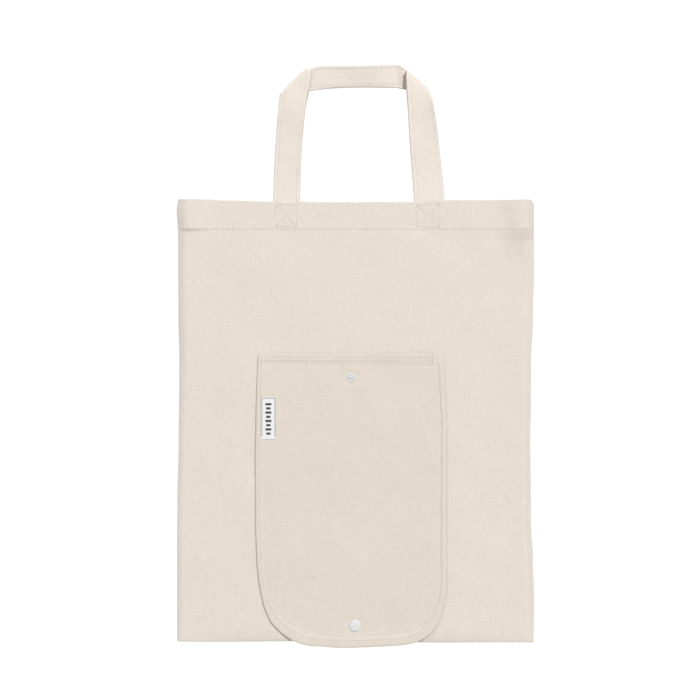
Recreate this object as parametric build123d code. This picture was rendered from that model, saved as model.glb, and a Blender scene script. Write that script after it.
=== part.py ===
"""Foldable shopping tote, hanging upright with its front towards -Y.

A flat cotton bag with two strap handles sewn inside the top hem.  On its front hangs a long
storage pouch with a rounded flap end, sewn to the bag along its top edge only, with a plastic
snap fastener at each end.  The bag folds to the back along two upright lines, each handle drops
over the hem, the pouch lifts about its seam and its lower half folds up.

Millimetres, +Z up.  X = 0 is the middle of the bag and Z = 0 the lowest point of the pouch.
Shapes are drawn about the mid-plane between front and back, and moved at export so that Y = 0 is
the middle of the whole object.
"""
from build123d import *
import math
import os

# ---- driving dimensions -------------------------------------------------------------------
BAG_WIDTH = 370.0
BAG_BOTTOM = 6.0            # the pouch hangs this far below the bag
BAG_TOP = 467.0
HEM_DEPTH = 30.0
FOLD_X = 105.0              # upright fold lines, each side of the middle
INNER_GAP = 6.0             # clear space between front and back at the middle
SEAM_GAP = 0.6              # the same at the side seams
CLOTH = 0.6
FOLD_CLEARANCE = 0.4
SIDE_SEAM_WIDTH = 11.0
BOTTOM_SEAM = 1.2
THREAD = 0.3
STITCH_WIDTH = 0.6
THREAD_CLEARANCE = 0.03     # of the rows on the tapering sides

STRAP = 1.2                 # thickness of the doubled strap
STRAP_ROOTS = [(-86.0, -58.0), (61.5, 92.5)]
STRAP_END_DEPTH = 25.0
HANDLE_TOP = 608.0
CROSSBAR_DEPTH = 21.5
HANDLE_HINGE_Y = 5.0
HANDLE_HINGE_Z = BAG_TOP + 2.0
LEG_Y = 3.4                 # outer face of the free strap, from the mid-plane

POUCH_LEFT = -103.0
POUCH_RIGHT = 95.0
POUCH_TOP = 308.0
BAND_DEPTH = 10.0
POUCH_FREE_TOP = 295.5
POUCH_FOLD_Z = 152.0
POCKET_MOUTH_Z = 100.0
POUCH_CURVE = 100.0         # height over which the lower end is rounded
POUCH_ROUNDNESS = (3.0, 4.1) # exponents of the rounded end, left and right
POUCH_CLOTH = 0.5
FACE_Y = -6.0               # front of the pouch face
LINING_Y = -5.3             # front of the pocket layer
BAND_Y = -4.8
EDGE_STITCH = 6.5           # topstitch, in from the pouch edge

UPPER_SNAP = (-4.5, 282.0)
FLAP_SNAP = (0.0, 22.0)
SNAP_CAP_R = 6.1
SNAP_RING_R = 5.2
SNAP_POST_R = 1.6
SNAP_BACK_Y = -3.9          # nearest the snaps come to the bag
CAP_HEIGHT = 2.0

LABEL_LEFT = -98.5
LABEL_WIDTH = 14.5
LABEL_Z = (217.5, 261.5)

# ---- sizes that follow --------------------------------------------------------------------
HALF_WIDTH = BAG_WIDTH / 2
PANEL_IN = INNER_GAP / 2
PANEL_OUT = PANEL_IN + CLOTH
WING_START = FOLD_X + FOLD_CLEARANCE
HEM_BOTTOM = BAG_TOP - HEM_DEPTH
HEM_IN = PANEL_IN - CLOTH
POUCH_MIDDLE = (POUCH_LEFT + POUCH_RIGHT) / 2
POUCH_HALF = (POUCH_RIGHT - POUCH_LEFT) / 2
FRONT_MOST = FACE_Y - CAP_HEIGHT
SHIFT_Y = -(FRONT_MOST + PANEL_OUT + THREAD + THREAD_CLEARANCE) / 2

os.makedirs("parts", exist_ok=True)


def save(name, shape):
    export_step(Pos(0, SHIFT_Y, 0) * shape, f"parts/{name}.step")


def block(x0, x1, y0, y1, z0, z1):
    """A box between two corners."""
    centre = Pos((x0 + x1) / 2, (y0 + y1) / 2, (z0 + z1) / 2)
    return centre * Box(abs(x1 - x0), abs(y1 - y0), abs(z1 - z0))


def slab(outline, y0, y1):
    """An outline in X and Z, thickened from y0 to y1."""
    face = make_face(Polyline(*[(x, y0, z) for x, z in outline], close=True))
    return extrude(face, amount=y1 - y0, dir=(0, 1, 0))


def column(outline, z0, z1):
    """An outline in X and Y, raised from z0 to z1."""
    face = make_face(Polyline(*[(x, y, z0) for x, y in outline], close=True))
    return extrude(face, amount=z1 - z0, dir=(0, 0, 1))


def save_pair(name, front):
    """Save a shape on the front of the bag and its mirror image on the back."""
    save(f"front_{name}", front)
    save(f"back_{name}", mirror(front, about=Plane.XZ))


# ---- bag body -----------------------------------------------------------------------------
def wing_inner(x):
    """Half gap of the tapering side at a distance x from the middle."""
    along = (x - WING_START) / (HALF_WIDTH - WING_START)
    return PANEL_IN + (SEAM_GAP / 2 - PANEL_IN) * along


def wing_layer(side, inset, x_end, z0, z1):
    """One layer of cloth on the front of a side, inset layers in from the outside."""
    ends = [(WING_START, wing_inner(WING_START)), (x_end, wing_inner(x_end))]
    near, far = [(side * x, -(y - inset * CLOTH)) for x, y in ends]
    return column([near, far, (far[0], far[1] - CLOTH), (near[0], near[1] - CLOTH)], z0, z1)


def centre_panels():
    front = block(-FOLD_X, FOLD_X, -PANEL_OUT, -PANEL_IN, BAG_BOTTOM, BAG_TOP)
    hem = block(-FOLD_X, FOLD_X, -PANEL_IN, -HEM_IN, HEM_BOTTOM, BAG_TOP)
    save_pair("panel_centre", front)
    save_pair("hem_centre", hem)
    seam_top = BAG_BOTTOM + BOTTOM_SEAM
    save("bottom_seam_centre", block(-FOLD_X, FOLD_X, -PANEL_IN, PANEL_IN, BAG_BOTTOM, seam_top))


def side_panels(side, name):
    """One foldable side: two panels, their hems, the bottom seam and the side seam."""
    seam_top = BAG_BOTTOM + BOTTOM_SEAM
    seam_x = HALF_WIDTH - SIDE_SEAM_WIDTH
    panel = wing_layer(side, 0, HALF_WIDTH, BAG_BOTTOM, BAG_TOP)
    hem = wing_layer(side, 1, seam_x - 2, HEM_BOTTOM, BAG_TOP)
    save_pair(f"panel_{name}", panel)
    save_pair(f"hem_{name}", hem)
    web = [
        (side * WING_START, -PANEL_IN),
        (side * HALF_WIDTH, -SEAM_GAP / 2),
        (side * HALF_WIDTH, SEAM_GAP / 2),
        (side * WING_START, PANEL_IN),
    ]
    save(f"bottom_seam_{name}", column(web, BAG_BOTTOM, seam_top))
    seam = block(side * seam_x, side * HALF_WIDTH, -SEAM_GAP / 2, SEAM_GAP / 2, seam_top, BAG_TOP)
    save(f"side_seam_{name}", seam)


def hem_stitching():
    """The row of stitches that holds the hem, on all three columns, front and back."""
    z0 = HEM_BOTTOM + 0.8
    z1 = z0 + STITCH_WIDTH
    save_pair("hem_stitching_centre",
              block(-FOLD_X, FOLD_X, -PANEL_OUT - THREAD, -PANEL_OUT, z0, z1))
    for side, name in [(-1, "left"), (1, "right")]:
        save_pair(f"hem_stitching_{name}", wing_thread(side, z0, z1))


def wing_thread(side, z0, z1):
    """A thread lying on the front of the tapering side."""
    ends = [(x, wing_inner(x) + CLOTH + THREAD_CLEARANCE) for x in (WING_START, HALF_WIDTH)]
    near, far = [(side * x, -y) for x, y in ends]
    return column([near, far, (far[0], far[1] - THREAD), (near[0], near[1] - THREAD)], z0, z1)


# ---- handles ------------------------------------------------------------------------------
def handle_ends():
    """The four strap ends, sewn flat against the inside of the hem."""
    z0 = BAG_TOP - STRAP_END_DEPTH
    ends = [block(x0, x1, -HEM_IN, -HEM_IN + STRAP, z0, BAG_TOP) for x0, x1 in STRAP_ROOTS]
    save_pair("handle_ends", Compound(children=ends))


def stitch_frame(x0, x1, z0, z1):
    """A rectangle of stitches on the front of the hem."""
    y0, y1 = -PANEL_OUT - THREAD, -PANEL_OUT
    frame = block(x0, x1, y0, y1, z0, z1)
    frame -= block(x0 + STITCH_WIDTH, x1 - STITCH_WIDTH, y0, y1, z0 + STITCH_WIDTH,
                   z1 - STITCH_WIDTH)
    return frame


def handle_box_stitching():
    margin = 3.0
    frames = [stitch_frame(x0 + margin, x1 - margin, HEM_BOTTOM + margin, BAG_TOP - margin)
              for x0, x1 in STRAP_ROOTS]
    save_pair("handle_stitching", Compound(children=frames))


def leg_outlines():
    """The two legs of a handle, cut to the mitres where the strap turns across."""
    base = BAG_TOP + FOLD_CLEARANCE
    under = HANDLE_TOP - CROSSBAR_DEPTH
    (left_out, left_in), (right_in, right_out) = STRAP_ROOTS
    left = [(left_out, base), (left_in, base), (left_in + 7, under - 12), (left_in + 10, under),
            (left_in + 9, HANDLE_TOP - 3), (left_in + 3, HANDLE_TOP - 7), (left_out + 7, under - 9)]
    right = [(right_out, base), (right_in, base), (right_in - 6, under - 30),
             (right_in - 9, under - 4), (right_in - 10, HANDLE_TOP - 4),
             (right_in - 3, HANDLE_TOP - 7), (right_out - 24, HANDLE_TOP - 13),
             (right_out - 16, under + 1), (right_out - 11, under - 13), (right_out - 7, under - 38)]
    return left, right


def handle_strap():
    """One free handle: the cross bar passes behind both legs at the mitres."""
    back = -LEG_Y + STRAP
    left, right = leg_outlines()
    bar_left = left[4][0] - 6
    bar_right = right[4][0] + 6
    strap = slab(left, -LEG_Y, back) + slab(right, -LEG_Y, back)
    strap += block(bar_left, bar_right, back, back + STRAP, HANDLE_TOP - CROSSBAR_DEPTH,
                   HANDLE_TOP)
    return strap


def handle_edge_stitching():
    """Two short rows on the front of each leg, near its inner and outer edges."""
    rows = []
    z0, z1 = BAG_TOP + 4, HANDLE_TOP - CROSSBAR_DEPTH - 40
    for x0, x1 in STRAP_ROOTS:
        lean = 4.6 if x0 < 0 else -5.0
        for x in (x0 + 3.5, x1 - 4.1):
            row = [(x, z0), (x + STITCH_WIDTH, z0), (x + STITCH_WIDTH + lean, z1), (x + lean, z1)]
            rows.append(slab(row, -LEG_Y - THREAD, -LEG_Y))
    return Compound(children=rows)


def handles():
    save_pair("handle_strap", handle_strap())
    save_pair("handle_edge_stitching", handle_edge_stitching())


# ---- pouch --------------------------------------------------------------------------------
def rounded_end(inset=0.0, steps=28):
    """Lower edge of the pouch from left to right, drawn inset from the real edge."""
    points = []
    for i in range(steps + 1):
        angle = math.pi * i / steps
        power = 2 / POUCH_ROUNDNESS[i > steps // 2]
        across = math.copysign(abs(math.cos(angle)) ** power, math.cos(angle))
        down = math.sin(angle) ** power
        points.append((POUCH_MIDDLE - (POUCH_HALF - inset) * across,
                       POUCH_CURVE - (POUCH_CURVE - inset) * down))
    return points


def pouch_region(top, inset=0.0):
    """Outline of the pouch below a given height."""
    return rounded_end(inset) + [(POUCH_RIGHT - inset, top), (POUCH_LEFT + inset, top)]


def snap_hole(spot):
    x, z = spot
    return Pos(x, FACE_Y, z) * Rot(90, 0, 0) * Cylinder(SNAP_POST_R, 20)


def disc(spot, radius, y0, y1):
    x, z = spot
    return Pos(x, (y0 + y1) / 2, z) * Rot(90, 0, 0) * Cylinder(radius, abs(y1 - y0))


def pouch_band():
    """The sewn top edge of the pouch, its bar tack and its row of stitches."""
    z0 = POUCH_TOP - BAND_DEPTH
    right = POUCH_RIGHT - 10
    save("pouch_band", block(POUCH_LEFT + 1, right, BAND_Y, -PANEL_OUT, z0, POUCH_TOP))
    row = block(POUCH_LEFT + 3, right - 3, BAND_Y - THREAD, BAND_Y, z0 + 1, z0 + 1 + STITCH_WIDTH)
    tack = block(right - 2.4, right - 1.2, BAND_Y - THREAD, BAND_Y, z0 + 1, POUCH_TOP - 1)
    save("pouch_band_stitching", Compound(children=[row, tack]))


def pouch_upper():
    corner = 14.0
    z0 = POUCH_FOLD_Z + FOLD_CLEARANCE / 2
    outline = [(POUCH_LEFT, z0), (POUCH_RIGHT, z0), (POUCH_RIGHT, POUCH_FREE_TOP - corner),
               (POUCH_RIGHT - 4, POUCH_FREE_TOP - 4), (POUCH_RIGHT - corner, POUCH_FREE_TOP),
               (POUCH_LEFT, POUCH_FREE_TOP)]
    hole = snap_hole(UPPER_SNAP)
    save("pouch_face_upper", slab(outline, FACE_Y, FACE_Y + POUCH_CLOTH) - hole)
    save("pouch_pocket_upper", slab(outline, LINING_Y, LINING_Y + POUCH_CLOTH) - hole)


def pouch_flap():
    top = POUCH_FOLD_Z - FOLD_CLEARANCE / 2
    face = slab(pouch_region(top), FACE_Y, FACE_Y + POUCH_CLOTH)
    save("pouch_face_flap", face - snap_hole(FLAP_SNAP))
    save("pouch_pocket_flap",
         block(POUCH_LEFT, POUCH_RIGHT, LINING_Y, LINING_Y + POUCH_CLOTH, POCKET_MOUTH_Z, top))


def pouch_stitching():
    """Topstitching along the pouch edge; it breaks where the label is sewn in."""
    y0, y1 = FACE_Y - THREAD, FACE_Y
    low = POUCH_FOLD_Z + FOLD_CLEARANCE
    high = POUCH_FREE_TOP - 2
    left = POUCH_LEFT + EDGE_STITCH
    right = POUCH_RIGHT - EDGE_STITCH
    rows = [block(left, left + STITCH_WIDTH, y0, y1, low, LABEL_Z[0] - 0.5),
            block(left, left + STITCH_WIDTH, y0, y1, LABEL_Z[1] + 0.5, high),
            block(right - STITCH_WIDTH, right, y0, y1, low, high - 12)]
    save("pouch_stitching_upper", Compound(children=rows))
    top = POUCH_FOLD_Z - FOLD_CLEARANCE
    outer = slab(pouch_region(top, EDGE_STITCH), y0, y1)
    inner = slab(pouch_region(top + 5, EDGE_STITCH + STITCH_WIDTH), y0, y1)
    save("pouch_stitching_flap", outer - inner)


def label():
    x1 = LABEL_LEFT + LABEL_WIDTH
    save("label", block(LABEL_LEFT, x1, FACE_Y - THREAD, FACE_Y, *LABEL_Z))


def snap_cap():
    """Domed cap with the post that goes through the flap."""
    x, z = FLAP_SNAP
    rim = 0.5
    dome_height = CAP_HEIGHT - rim
    ball = (SNAP_CAP_R ** 2 + dome_height ** 2) / (2 * dome_height)
    dome = Pos(x, FACE_Y - CAP_HEIGHT + ball, z) * Sphere(ball)
    keep = disc(FLAP_SNAP, SNAP_CAP_R, FACE_Y - CAP_HEIGHT, FACE_Y - rim)
    cap = disc(FLAP_SNAP, SNAP_CAP_R, FACE_Y - rim, FACE_Y) + (dome & keep)
    return cap + disc(FLAP_SNAP, SNAP_POST_R, FACE_Y, FACE_Y + POUCH_CLOTH)


def snaps():
    """Cap and socket on the flap; stud plate and backing disc on the upper pouch."""
    save("flap_snap_cap", snap_cap())
    socket_front = FACE_Y + POUCH_CLOTH
    socket = disc(FLAP_SNAP, SNAP_RING_R, socket_front, SNAP_BACK_Y)
    socket -= disc(FLAP_SNAP, SNAP_POST_R + 0.6, socket_front + 0.5, SNAP_BACK_Y)
    save("flap_snap_socket", socket)

    plate = disc(UPPER_SNAP, SNAP_RING_R, FACE_Y - 0.5, FACE_Y)
    ring = disc(UPPER_SNAP, SNAP_RING_R - 1.0, FACE_Y - 1.0, FACE_Y - 0.5)
    ring -= disc(UPPER_SNAP, SNAP_RING_R - 2.0, FACE_Y - 1.0, FACE_Y - 0.5)
    pin = disc(UPPER_SNAP, 1.2, FACE_Y - 1.6, FACE_Y - 0.5)
    save("pouch_snap_stud", plate + ring + pin)
    lining_back = LINING_Y + POUCH_CLOTH
    backing = disc(UPPER_SNAP, SNAP_CAP_R, lining_back, SNAP_BACK_Y)
    backing += disc(UPPER_SNAP, SNAP_POST_R, FACE_Y, lining_back)
    save("pouch_snap_backing", backing)


centre_panels()
side_panels(-1, "left")
side_panels(1, "right")
hem_stitching()
handle_ends()
handle_box_stitching()
handles()
pouch_band()
pouch_upper()
pouch_flap()
pouch_stitching()
label()
snaps()
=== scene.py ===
"""The looks of the foldable tote bag: cotton cloth, seams, stitches, handles, pouch and snaps.

Everything is worked out in millimetres from the frame's boxes, and turned into metres when a mesh
is made.  x runs across the bag, y from front to back and z up.
"""
import math

import bpy
import numpy as np
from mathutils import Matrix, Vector


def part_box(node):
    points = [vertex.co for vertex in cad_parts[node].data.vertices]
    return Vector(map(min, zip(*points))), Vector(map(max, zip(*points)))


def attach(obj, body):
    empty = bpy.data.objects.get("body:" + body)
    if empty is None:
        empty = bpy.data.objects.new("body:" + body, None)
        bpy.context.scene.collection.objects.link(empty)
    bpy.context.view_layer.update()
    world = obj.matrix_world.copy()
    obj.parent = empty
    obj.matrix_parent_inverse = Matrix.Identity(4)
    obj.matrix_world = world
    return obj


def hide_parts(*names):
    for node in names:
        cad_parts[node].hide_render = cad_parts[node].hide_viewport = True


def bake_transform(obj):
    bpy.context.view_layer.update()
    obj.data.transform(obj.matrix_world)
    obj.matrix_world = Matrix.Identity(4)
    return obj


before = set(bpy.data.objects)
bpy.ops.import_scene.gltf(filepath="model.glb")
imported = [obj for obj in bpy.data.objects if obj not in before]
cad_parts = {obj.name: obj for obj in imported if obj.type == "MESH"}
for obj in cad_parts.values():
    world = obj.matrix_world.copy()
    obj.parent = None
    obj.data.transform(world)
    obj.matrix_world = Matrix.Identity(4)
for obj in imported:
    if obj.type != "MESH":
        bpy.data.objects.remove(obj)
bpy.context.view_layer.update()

MM = 0.001


# ---- the frame's boxes, in millimetres ----------------------------------------------------
def low(node):
    return np.array(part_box(node)[0], float) / MM


def high(node):
    return np.array(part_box(node)[1], float) / MM


MIDDLE_Y = (low("front_panel_centre")[1] + high("back_panel_centre")[1]) / 2
HALF_DEPTH = high("back_panel_centre")[1] - MIDDLE_Y      # outer face of the bag, at its middle
EDGE_X = high("front_panel_right")[0]
BAG_BOTTOM = low("front_panel_centre")[2]
BAG_TOP = high("front_panel_centre")[2]
HEM_BOTTOM = low("front_hem_centre")[2]
STITCH_Z = HEM_BOTTOM + 0.4
CLOTH = 0.6

STRAP_ENDS_LOW, STRAP_ENDS_HIGH = low("front_handle_ends"), high("front_handle_ends")
STRAP_SEWN = BAG_TOP - STRAP_ENDS_LOW[2]
STRAP_LEFT = (STRAP_ENDS_LOW[0], STRAP_ENDS_LOW[0] + 28.0)
STRAP_RIGHT = (STRAP_ENDS_HIGH[0] - 31.0, STRAP_ENDS_HIGH[0])
HANDLE_TOP = high("front_handle_strap")[2]

POUCH_LOW = low("pouch_face_flap")
POUCH_HIGH = high("pouch_face_upper")
POUCH_TOP = high("pouch_band")[2]
BAND_BOTTOM = low("pouch_band")[2]
FACE_Y = POUCH_LOW[1]
POUCH_MIDDLE = (POUCH_LOW[0] + POUCH_HIGH[0]) / 2
POUCH_HALF = (POUCH_HIGH[0] - POUCH_LOW[0]) / 2
POUCH_CURVE = 100.0         # height at which the rounded lower end begins
POCKET_MOUTH_Z = low("pouch_pocket_flap")[2]
POUCH_SPLIT_Z = 225.0       # the two halves of each pouch layer meet here
UPPER_SNAP = (low("pouch_snap_stud") + high("pouch_snap_stud")) / 2
FLAP_SNAP = (low("flap_snap_cap") + high("flap_snap_cap")) / 2


# ---- shaping ------------------------------------------------------------------------------
def smooth(t):
    t = np.clip(t, 0.0, 1.0)
    return t * t * (3 - 2 * t)


def bump(x, centre, width):
    return np.exp(-(((x - centre) / width) ** 2))


def between(x, start, end, width):
    """1 between two places, falling off to 0 within a width inside each."""
    return smooth((x - start) / width) * smooth((end - x) / width)


def join(*values):
    """Points from their coordinates."""
    return np.stack(values, axis=-1)


def unit(vectors):
    return vectors / np.maximum(np.linalg.norm(vectors, axis=-1, keepdims=True), 1e-9)


def distance_along(points):
    """How far along a row of points each of them lies."""
    return np.concatenate([[0], np.cumsum(np.linalg.norm(np.diff(points, axis=0), axis=1))])


def ripple(a, b, wavelength, seed, stretch=(1.0, 1.0)):
    """Smooth unevenness of about unit size: a few plane waves in seeded directions."""
    rng = np.random.default_rng(seed)
    count = 9
    total = np.zeros(np.broadcast(a, b).shape)
    for _ in range(count):
        angle, phase = rng.uniform(0, 2 * math.pi, 2)
        length = wavelength * rng.uniform(0.7, 1.6)
        across = np.cos(angle) * a * stretch[0] + np.sin(angle) * b * stretch[1]
        total += np.sin(2 * math.pi * across / length + phase)
    return total / math.sqrt(count)


def wobble(a, wavelength, seed):
    """Smooth unevenness along one direction."""
    return ripple(a, a * 0, wavelength, seed)


def steps(*stops):
    """Values from stop to stop: steps(start, (end, spacing), ...)."""
    values = [stops[0]]
    for end, spacing in stops[1:]:
        n = max(1, int(round(abs(end - values[-1]) / spacing)))
        values += list(np.linspace(values[-1], end, n + 1)[1:])
    return np.array(values)


def curve_through(heights, values, at):
    """Smooth values between a few given ones."""
    heights, values = np.asarray(heights, float), np.asarray(values, float)
    k = np.clip(np.searchsorted(heights, at) - 1, 0, len(heights) - 2)
    t = smooth((at - heights[k]) / (heights[k + 1] - heights[k]))
    return values[k] + (values[k + 1] - values[k]) * t


def round_corner(x, z, corner_x, corner_z, radius):
    """Moves points of a square corner on to a rounded one."""
    side = np.sign(corner_x)
    dx = (x - (corner_x - side * radius)) * side
    dz = z - (corner_z - radius)
    inside = (dx > 0) & (dz > 0)
    scale = np.where(inside, np.maximum(dx, dz) / np.maximum(np.hypot(dx, dz), 1e-9), 1.0)
    x = np.where(inside, (corner_x - side * radius) + side * dx * scale, x)
    z = np.where(inside, (corner_z - radius) + dz * scale, z)
    return x, z


# ---- meshes -------------------------------------------------------------------------------
def make_mesh(name, vertices, faces, uv, material, sharp=55, seam=None):
    """A smooth mesh from points in millimetres, with one UV in metres per vertex.

    seam holds, per vertex, how strongly a row of stitches gathers the cloth there and how far
    along the row the vertex lies.
    """
    mesh = bpy.data.meshes.new(name)
    mesh.from_pydata((vertices * MM).tolist(), [], faces)
    layer = mesh.uv_layers.new(name="cloth")
    index = np.zeros(len(mesh.loops), np.int32)
    mesh.loops.foreach_get("vertex_index", index)
    layer.data.foreach_set("uv", (uv[index] * MM).astype(np.float32).ravel())
    if seam is not None:
        for label_name, values in zip(("seam_amount", "seam_along"), seam):
            attribute = mesh.attributes.new(label_name, "FLOAT", "POINT")
            attribute.data.foreach_set("value", np.asarray(values, np.float32))
    mesh.polygons.foreach_set("use_smooth", [True] * len(mesh.polygons))
    mesh.set_sharp_from_angle(angle=math.radians(sharp))
    mesh.materials.append(material)
    mesh.validate()
    mesh.update()
    return add_to_scene(name, mesh)


def add_to_scene(name, data):
    thing = bpy.data.objects.new(name, data)
    bpy.context.scene.collection.objects.link(thing)
    return thing


def make_outward(piece):
    """Turns a closed mesh's faces outwards."""
    mesh = piece.data
    mesh.calc_loop_triangles()
    corners = np.zeros(len(mesh.loop_triangles) * 3, np.int32)
    mesh.loop_triangles.foreach_get("vertices", corners)
    points = np.zeros(len(mesh.vertices) * 3)
    mesh.vertices.foreach_get("co", points)
    a, b, c = np.moveaxis(points.reshape(-1, 3)[corners.reshape(-1, 3)], 1, 0)
    if (a * np.cross(b, c)).sum() < 0:
        mesh.flip_normals()
    return piece


def loop_of(rows, columns):
    """Grid indices round the border, once."""
    top = [(0, j) for j in range(columns)]
    right = [(i, columns - 1) for i in range(1, rows)]
    bottom = [(rows - 1, j) for j in range(columns - 2, -1, -1)]
    left = [(i, 0) for i in range(rows - 2, 0, -1)]
    return np.array(top + right + bottom + left).T


RIM_STEPS = 4               # facets round the edge of a layer of cloth


def slab(name, outer, inner, uv, material, flat_columns=(), flat_rows=(), seam=None):
    """A closed layer of cloth between two grids of points, with a rounded rim.

    flat_columns and flat_rows name border columns and rows (0 or -1) that are cut off flat,
    where the layer carries on in a neighbouring piece.
    """
    rows, columns = outer.shape[:2]
    size = rows * columns
    i, j = loop_of(rows, columns)
    middle = (outer[i, j] + inner[i, j]) / 2
    half = (outer[i, j] - inner[i, j]) / 2
    tangent = np.roll(middle, -1, axis=0) - np.roll(middle, 1, axis=0)
    outward = unit(np.cross(tangent, half)) * np.linalg.norm(half, axis=1, keepdims=True)
    if ((middle - middle.mean(axis=0)) * outward).sum() < 0:
        outward = -outward
    outward[np.isin(j, [c % columns for c in flat_columns])] = 0
    outward[np.isin(i, [r % rows for r in flat_rows])] = 0
    angles = math.pi * np.arange(1, RIM_STEPS) / RIM_STEPS
    rim = [middle + half * math.cos(angle) + outward * math.sin(angle) for angle in angles]
    vertices = np.concatenate([outer.reshape(-1, 3), inner.reshape(-1, 3), *rim])
    uvs = np.concatenate([uv.reshape(-1, 2)] * 2 + [uv[i, j]] * len(rim))

    corner = np.arange(size).reshape(rows, columns)
    quads = join(corner[:-1, :-1], corner[:-1, 1:], corner[1:, 1:], corner[1:, :-1])
    quads = quads.reshape(-1, 4)
    between_rings = 2 * size + np.arange(len(rim) * len(i)).reshape(len(rim), -1)
    rings = np.vstack([corner[i, j], between_rings, size + corner[i, j]])
    ahead = np.roll(rings, -1, axis=1)
    around = join(ahead[:-1], rings[:-1], rings[1:], ahead[1:]).reshape(-1, 4)
    faces = np.concatenate([quads, size + quads[:, ::-1], around]).tolist()
    if seam is not None:
        amount, along = (np.asarray(values, float).ravel() for values in seam)
        rest = len(vertices) - size
        seam = (np.concatenate([amount, np.zeros(rest)]),
                np.concatenate([along, along, np.zeros(rest - size)]))
    return make_outward(make_mesh(name, vertices, faces, uvs, material, seam=seam))


def tube_faces(start, rings, sides):
    """Faces of a closed tube whose rings of vertices follow each other, and of its two ends."""
    ring = start + np.arange(rings * sides).reshape(rings, sides)
    ahead = np.roll(ring, -1, axis=1)
    walls = join(ring[:-1], ahead[:-1], ahead[1:], ring[1:]).reshape(-1, 4)
    return walls.tolist() + [ring[0, ::-1].tolist(), ring[-1].tolist()]


def stitches(name, runs, material, length=2.7, gap=0.9, radius=0.24):
    """Rows of single stitches.  A run is (points, normals); each stitch dips in at both ends."""
    sections = np.linspace(0, 1, 5)
    swell = np.array([0.35, 0.9, 1.0, 0.9, 0.35])[:, None, None]
    lift = np.array([-0.12, 0.1, 0.16, 0.1, -0.12])[:, None]
    sides = 6
    angles = 2 * math.pi * np.arange(sides) / sides
    cosine, sine = np.cos(angles)[:, None], np.sin(angles)[:, None]
    tubes, faces, uvs = [], [], []
    for points, normals in runs:
        along = distance_along(points)
        number = max(1, int(round(along[-1] / (length + gap))))
        pitch = along[-1] / number
        for s in range(number):
            at = s * pitch + gap / 2 + sections * (pitch - gap)
            centre = join(*(np.interp(at, along, line) for line in points.T))
            normal = unit(join(*(np.interp(at, along, line) for line in normals.T)))
            side = np.cross(unit(centre[-1] - centre[0]), normal)
            centre = centre + normal * lift
            around = cosine * side[:, None] + sine * normal[:, None]
            faces += tube_faces(len(tubes) * len(sections) * sides, len(sections), sides)
            tubes.append((centre[:, None] + radius * swell * around).reshape(-1, 3))
            uvs.append(join(np.tile(angles, len(sections)), np.repeat(at, sides)))
    return make_mesh(name, np.concatenate(tubes), faces, np.concatenate(uvs), material, sharp=70)


def lathe(name, centre, profile, material, facing=-1, sides=56):
    """A turned piece about the y axis; profile is (radius, distance out from centre)."""
    radius, out = np.array(profile).T[:, :, None]
    angles = 2 * math.pi * np.arange(sides) / sides
    points = join(centre[0] + radius * np.cos(angles), centre[1] + facing * out + 0 * angles,
                  centre[2] + radius * np.sin(angles)).reshape(-1, 3)
    faces = tube_faces(0, len(profile), sides)
    return make_outward(make_mesh(name, points, faces, points[:, [0, 2]], material, sharp=40))


def surface_run(face, xs, zs, side, lift=0.0, outline=None):
    """Points and outward normals of a row of stitches on a surface y = face(x, z)."""
    d = 0.3
    slope_x = (face(xs + d, zs) - face(xs - d, zs)) / (2 * d)
    slope_z = (face(xs, zs + d) - face(xs, zs - d)) / (2 * d)
    normal = unit(join(-slope_x, np.ones_like(xs), -slope_z)) * side
    px, pz = outline(xs, zs) if outline else (xs, zs)
    return join(px, face(xs, zs), pz) + normal * lift, normal


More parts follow.
